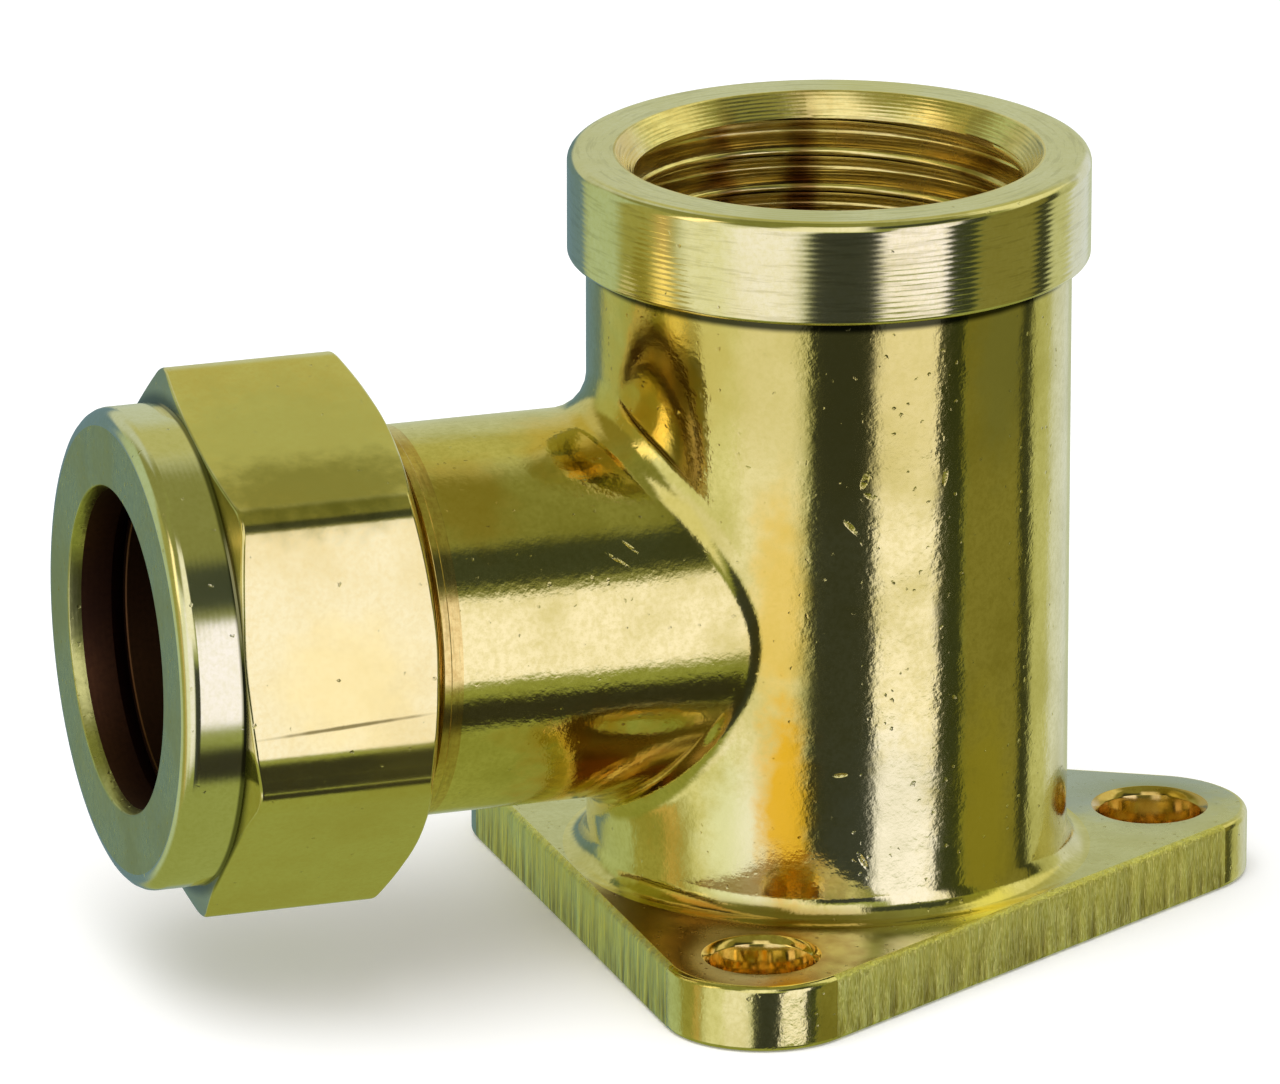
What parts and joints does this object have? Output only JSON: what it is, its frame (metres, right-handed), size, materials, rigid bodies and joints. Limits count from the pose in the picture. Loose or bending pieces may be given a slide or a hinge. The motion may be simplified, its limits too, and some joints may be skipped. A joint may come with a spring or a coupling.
{
  "type": "wall plate elbow",
  "caption": "Brass wall plate elbow: a threaded socket facing out from the wall, a side compression joint with nut and olive, and a triangular plate with screw holes.",
  "frame": {"origin": "centre of the plate's back face, on the axis of the threaded socket", "axes": "+Z along the socket axis, away from the wall; the compression branch points to -X; +Y completes the right-handed frame"},
  "size_m": [0.0571, 0.0384, 0.038],
  "materials": {
    "forged_brass": "polished forging with turned collar and machined bores",
    "olive_brass": "plain turned ring",
    "nut_brass": "satin flats with a turned boss"
  },
  "bodies": {
    "elbow": {"elbow_body": "forged_brass"},
    "olive": {"olive": "olive_brass"},
    "nut": {"compression_nut": "nut_brass"}
  },
  "joints": [
    {"name": "nut_advance", "type": "slide", "parent": "elbow", "child": "olive", "axis": [-1, 0, 0], "range_m": [0, 0.0046]},
    {"name": "nut_turn", "type": "hinge", "parent": "olive", "child": "nut", "pos_m": [-0.0295, 0, 0.0167], "axis": [-1, 0, 0], "range_deg": [0, 900]}
  ],
  "couplings": [
    {"joint": "nut_advance", "follows": "nut_turn", "m_per_rad": 0.00028875}
  ]
}
